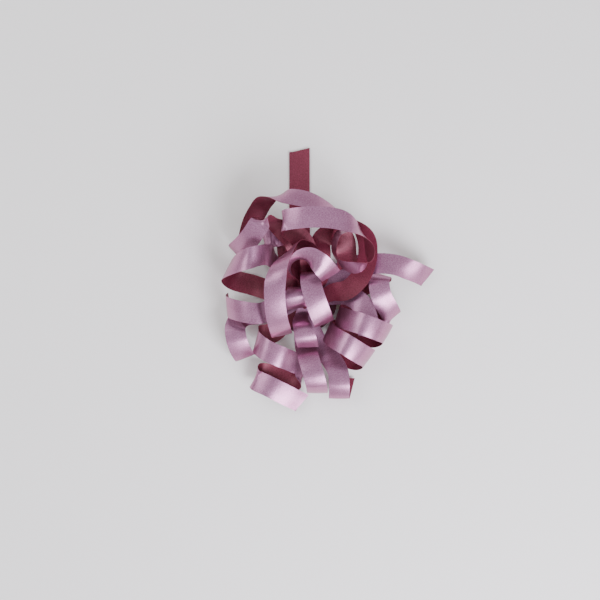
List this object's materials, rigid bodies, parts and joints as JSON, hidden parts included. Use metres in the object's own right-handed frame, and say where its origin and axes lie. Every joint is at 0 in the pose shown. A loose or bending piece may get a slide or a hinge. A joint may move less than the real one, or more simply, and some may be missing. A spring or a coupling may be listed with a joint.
{
  "type": "gift bow",
  "caption": "Stick-on gift bow of curled ribbon strands that spread from a stapled centre over a round card base.",
  "frame": {"origin": "centre of the underside of the round base, where it sticks to the gift", "axes": "+Z away from the gift, +Y along the long flat tail, +X to its right seen from above"},
  "size_m": [0.1033, 0.1281, 0.0376],
  "materials": {
    "ribbon": "pearly lilac satin outside, wine inside",
    "card": "uncoated paperboard dyed plum",
    "foam": "matte white closed-cell foam",
    "liner": "smooth coated paper",
    "steel": "bright wire"
  },
  "bodies": {
    "base": {"base_card": "card", "adhesive_pad": "foam", "staple": "steel", "right_coil": "ribbon", "left_coil": "ribbon", "right_front_hook": "ribbon", "lower_left_coil": "ribbon", "left_hook": "ribbon", "low_front_hook": "ribbon", "left_inner_curl": "ribbon", "side_strand": "ribbon", "upper_left_curl": "ribbon", "inner_arch": "ribbon", "crown_curl": "ribbon", "ring_curl": "ribbon", "s_strand": "ribbon", "front_hook": "ribbon", "arch_loop": "ribbon", "short_loop": "ribbon"},
    "liner": {"release_liner": "liner"},
    "flat_tail": {"flat_tail": "ribbon"},
    "right_tail": {"right_tail": "ribbon"},
    "centre_loop": {"centre_loop": "ribbon"}
  },
  "joints": [
    {"name": "liner_peel", "type": "hinge", "parent": "base", "child": "liner", "pos_m": [-0.0135, 0, 0.00007], "axis": [0, 1, 0], "range_deg": [0, 150]},
    {"name": "flat_tail_swivel", "type": "hinge", "parent": "base", "child": "flat_tail", "pos_m": [0, 0, 0.0031], "axis": [0, 0, 1], "range_deg": [-5.5, 5.5], "stiffness_Nm_per_rad": 0.0004},
    {"name": "right_tail_swivel", "type": "hinge", "parent": "base", "child": "right_tail", "pos_m": [0, 0, 0.0036], "axis": [0, 0, 1], "range_deg": [0, 4], "stiffness_Nm_per_rad": 0.0004},
    {"name": "centre_loop_swivel", "type": "hinge", "parent": "base", "child": "centre_loop", "pos_m": [0, 0, 0.0108], "axis": [0, 0, 1], "range_deg": [-5, 5], "stiffness_Nm_per_rad": 0.0004}
  ]
}
